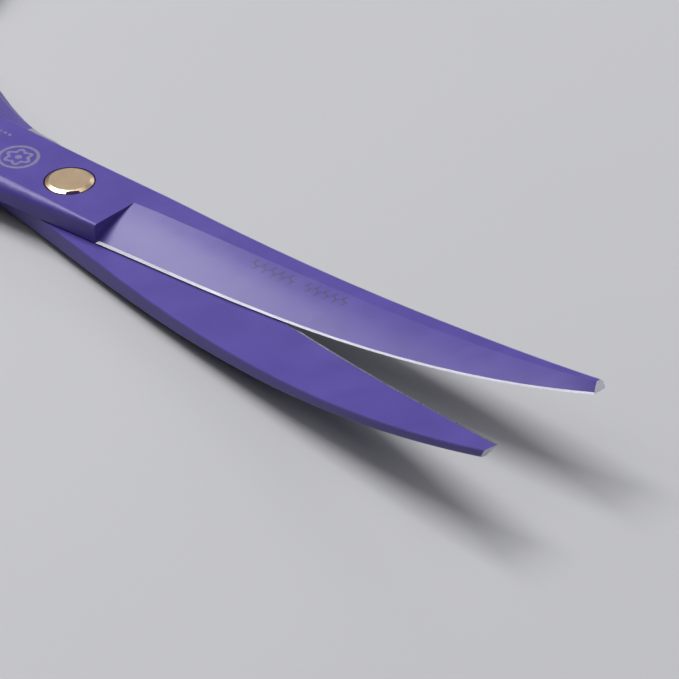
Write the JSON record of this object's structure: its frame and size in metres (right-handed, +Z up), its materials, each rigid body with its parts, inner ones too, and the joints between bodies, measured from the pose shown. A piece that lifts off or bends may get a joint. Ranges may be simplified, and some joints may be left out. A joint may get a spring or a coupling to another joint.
{
  "type": "curved grooming shears",
  "caption": "Shears with plain-edged blades that bend up out of plane, coated halves on an adjustable pivot screw, soft ring inserts, a bumper and a finger rest.",
  "frame": {"origin": "on the pivot axis, at the flat face of the tension nut that the shears rest on", "axes": "+X towards the blade tips, midway between the halves as they lie; +Y to the left, on the side of the finger ring; +Z up along the pivot axis, the way the blades bend"},
  "size_m": [0.209, 0.0773, 0.0161],
  "materials": {
    "purple_coating": "satin metallic coating",
    "gold_metal": "satin pale gold",
    "bright_steel": "ground",
    "slip_plastic": "matte",
    "soft_rubber": "matte silicone"
  },
  "bodies": {
    "lower": {"lower_half": "purple_coating", "pivot_bushing": "bright_steel", "ride_washer": "slip_plastic", "spring_washer": "bright_steel", "finger_ring_insert": "soft_rubber", "bumper_pad": "soft_rubber", "bumper_stud": "bright_steel", "finger_rest": "purple_coating"},
    "upper": {"upper_half": "purple_coating", "pivot_screw": "gold_metal", "thumb_ring_insert": "soft_rubber"},
    "nut": {"tension_nut": "gold_metal", "nut_lock_ring": "slip_plastic"}
  },
  "joints": [
    {"name": "blade_pivot", "type": "hinge", "parent": "lower", "child": "upper", "pos_m": [0, 0, 0.0041], "axis": [0, 0, 1], "range_deg": [-10.3, 49.7]},
    {"name": "nut_turn", "type": "hinge", "parent": "upper", "child": "nut", "pos_m": [0, 0, 0.001], "axis": [0, 0, 1], "range_deg": [-90, 90]}
  ]
}
